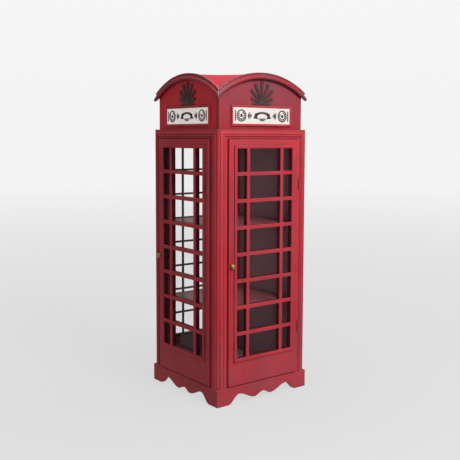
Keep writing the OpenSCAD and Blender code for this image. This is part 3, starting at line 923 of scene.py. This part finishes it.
def sign_marks(bm):
    """A handset between two dials, with rings of sound beside it: a picture, and no lettering."""
    z = (plate_lo.z + plate_hi.z) / 2
    handset(bm, z)
    for half, down in ((20 * MM, 13 * MM), (12 * MM, 19 * MM)):
        cradle = [(-half, z - down), (half, z - down)]
        ribbon(bm, cradle, lambda t: CRADLE_BAR, -MARK_FACE, -MARK_BACK)
    for s in (-1, 1):
        for i in range(3):
            sound = arc(s * SOUND_X, z, 9 * MM + SOUND_STEP * i, s * 50, s * 130, 12)
            ribbon(bm, sound, lambda t: (1.0 + 1.9 * math.sin(math.pi * t)) * MM, -MARK_FACE, -MARK_BACK)
        dial(bm, s * DIAL_X, z)
        end = [(s * END_X, z - END_UP), (s * END_X, z + END_UP)]
        ribbon(bm, end, lambda t: END_BAR, -MARK_FACE, -MARK_BACK)


for k, s in enumerate(SIDES):
    bm = bmesh.new()
    ring_sweep(bm, sign_profile(), sign_hi.x, sign_lo.z, sign_hi.z)
    piece(f"sign_surround_{s}", bm, across(k, RED_X, RED_Y), "cabinet", [f"sign_frame_{s}"], k, angle=30.0)
    rounded(f"sign_enamel_{s}", f"sign_plate_{s}", CREAM, 0.6 * MM)
    bm = bmesh.new()
    sign_marks(bm)
    piece(f"sign_marks_{s}", bm, MARK, "cabinet", [], k, angle=30.0)
    rounded(f"palmette_{s}", f"ornament_{s}", MARK, 1.1 * MM, 3)


# ---------------------------------------------------------------- hardware and glass
FINISHES = (
    (GLASS, ("front_door_glass", "left_door_glass", "back_glass")),
    (BRASS, ("front_door_knob", "left_door_knob", "shelf_pegs")),
    (PAINTED_BRASS, ("hinge_leaves", "hinge_pins", "front_door_leaves", "left_door_leaves")),
    (STEEL, ("front_door_strike", "left_door_strike")),
    (CATCH, ("door_catches",)),
)
for finish, nodes in FINISHES:
    for node in nodes:
        slots = cad_object(node).data.materials
        for i in range(len(slots)):
            slots[i] = finish


# hinge screws, for a door in front: from the ends of its leaves, off its edge and off the post
SCREW_R = 2.6 * MM
SCREW_STEP = 17 * MM
LEAF_MID = 25 * MM
LEAF_STAND = 1.0 * MM
DOOR_SCREW_Y = -238 * MM
POST_SCREW_Y = -234 * MM


def screw(bm, x, y, z, out):
    """Low domed screw head, facing along X the way that out says."""
    r, n = SCREW_R, 20
    turns = [t * math.tau / n for t in range(n)]
    dome = [(r, 0.0), (r * 0.96, 0.10 * MM), (r * 0.6, 0.16 * MM), (r * 0.2, 0.18 * MM)]
    rows = [[(x + out * h, y + q * math.sin(a), z + q * math.cos(a)) for a in turns] for q, h in dome]
    vs = add_grid(bm, rows, close_cols=True)
    bm.faces.new(vs[0])
    bm.faces.new(vs[-1])


def hinge_screws(name, body, k, x, y, out):
    """Three screw heads in each of one side's two hinge leaves."""
    bm = bmesh.new()
    for mid in (hinge_lo.z + LEAF_MID, hinge_hi.z - LEAF_MID):
        for dz in (-SCREW_STEP, 0.0, SCREW_STEP):
            screw(bm, x, y, mid + dz, out)
    piece(name, bm, PAINTED_BRASS, body, [], k, angle=50.0)


for k, door in enumerate(("front_door", "left_door")):
    hinge_screws(f"{door}_hinge_screws", door, k, DOOR_HALF + LEAF_STAND, DOOR_SCREW_Y, 1)
    hinge_screws(f"post_hinge_screws_{door}", "cabinet", k, back_hi.x - LEAF_STAND, POST_SCREW_Y, -1)


# ---------------------------------------------------------------- studio
# share of their seen brightness with which the floor and the backdrop light the object
FLOOR_GLOW = 0.50
WORLD_FILL = 0.50
# radius of the floor, and the distance at which it has become as pale as it gets
FLOOR_RADIUS = 60.0
FLOOR_FADE = 16.0


def grey(v):
    """A grey of one linear value."""
    return (v, v, v)


def floor_paint(name):
    """Pale floor: its own even glow keeps the shadow faint, and a matte share takes a little of it."""
    mat, tree, out = nodes_of(name)
    n = Net(tree)
    coord = n.new("TexCoord")
    length = n.new("VectorMath", operation="LENGTH")
    n.link(coord.outputs["Object"], length.inputs[0])
    ramp = n.new("ValToRGB")
    ramp.color_ramp.interpolation = "B_SPLINE"
    stops = ((0.0, 0.635), (0.10, 0.635), (0.20, 0.655), (0.34, 0.690))
    stops += ((0.55, 0.76), (0.80, 0.84), (1.0, 0.875))
    for i, (at, value) in enumerate(stops):
        stop = ramp.color_ramp.elements[i] if i < 2 else ramp.color_ramp.elements.new(at)
        stop.position = at
        stop.color = (value, value, value, 1.0)
    n.link(n.math("POWER", n.span(length.outputs["Value"], 0.0, FLOOR_FADE), 0.6), ramp.inputs[0])
    seen = n.new("LightPath")
    emit = n.new("Emission")
    n.link(ramp.outputs[0], emit.inputs[0])
    n.link(n.span(seen.outputs["Is Camera Ray"], 0.0, 1.0, FLOOR_GLOW, 1.0), emit.inputs["Strength"])
    grain = n.noise(n.place(), 30.0, 3.0)
    matte = n.new("BsdfDiffuse")
    n.link(n.mix(grain, grey(0.075), grey(0.070)), matte.inputs[0])
    add = n.new("AddShader")
    n.link(emit.outputs[0], add.inputs[0])
    n.link(matte.outputs[0], add.inputs[1])
    n.link(add.outputs[0], out.inputs["Surface"])
    return mat


def studio_floor():
    """A wide pale floor, just under the feet."""
    bm = bmesh.new()
    bmesh.ops.create_circle(bm, cap_ends=True, radius=FLOOR_RADIUS, segments=96)
    floor_mesh = bpy.data.meshes.new("studio_floor")
    bm.to_mesh(floor_mesh)
    bm.free()
    floor = bpy.data.objects.new("studio_floor", floor_mesh)
    floor.location.z = -2 * HAIR
    floor_mesh.materials.append(floor_paint("studio_floor_paint"))
    bpy.context.scene.collection.objects.link(floor)


def studio_world():
    """A pale backdrop, a little brighter higher up."""
    world = bpy.data.worlds.new("studio")
    world.use_nodes = True
    tree = world.node_tree
    tree.nodes.clear()
    n = Net(tree)
    out = n.new("OutputWorld")
    backdrop = n.new("Background")
    coord = n.new("TexCoord")
    split = n.new("SeparateXYZ")
    n.link(coord.outputs["Generated"], split.inputs[0])
    rise = n.span(split.outputs[2], 0.0, 0.20)
    n.link(n.mix(rise, grey(0.895), grey(0.925)), backdrop.inputs[0])
    seen = n.new("LightPath")
    n.link(n.span(seen.outputs["Is Camera Ray"], 0.0, 1.0, WORLD_FILL, 1.0), backdrop.inputs[1])
    n.link(backdrop.outputs[0], out.inputs[0])
    bpy.context.scene.world = world


def softbox(name, place, target, size, watts):
    """A square area light at place, aimed at target, that the camera doesn't see."""
    data = bpy.data.lights.new(name, "AREA")
    data.shape = "RECTANGLE"
    data.size = size
    data.size_y = size
    data.energy = watts
    obj = bpy.data.objects.new(name, data)
    obj.location = place
    obj.rotation_euler = (Vector(target) - Vector(place)).to_track_quat("-Z", "Y").to_euler()
    bpy.context.scene.collection.objects.link(obj)
    obj.visible_camera = False


studio_floor()
studio_world()
# place, target, width and watts
softbox("key_softbox", (0.1, -3.2, 3.1), (0.0, 0.0, 1.0), 1.5, 148.0)
softbox("top_softbox", (0.2, -0.2, 3.6), (0.0, 0.0, 0.75), 2.2, 46.0)


# ---------------------------------------------------------------- camera
CAM_AT = Vector((-2.0901, -2.7406, 1.1278))
AZIMUTH, PITCH, ROLL = math.radians(37.4025), math.radians(5.378), math.radians(0.205)
SENSOR_MM, LENS_MM = 36.0, 59.78
SHIFT_DOWN = 0.045

cam_data = bpy.data.cameras.new("photo_camera")
cam_data.sensor_width = SENSOR_MM
cam_data.lens = LENS_MM
cam_data.shift_y = -SHIFT_DOWN
camera = bpy.data.objects.new("photo_camera", cam_data)
level = math.cos(PITCH)
look = Vector((math.sin(AZIMUTH) * level, math.cos(AZIMUTH) * level, -math.sin(PITCH)))
turn = look.to_track_quat("-Z", "Y").to_matrix().to_4x4() @ Matrix.Rotation(ROLL, 4, "Z")
camera.matrix_world = Matrix.Translation(CAM_AT) @ turn
bpy.context.scene.collection.objects.link(camera)
bpy.context.scene.camera = camera
bpy.context.scene.view_settings.view_transform = "Standard"
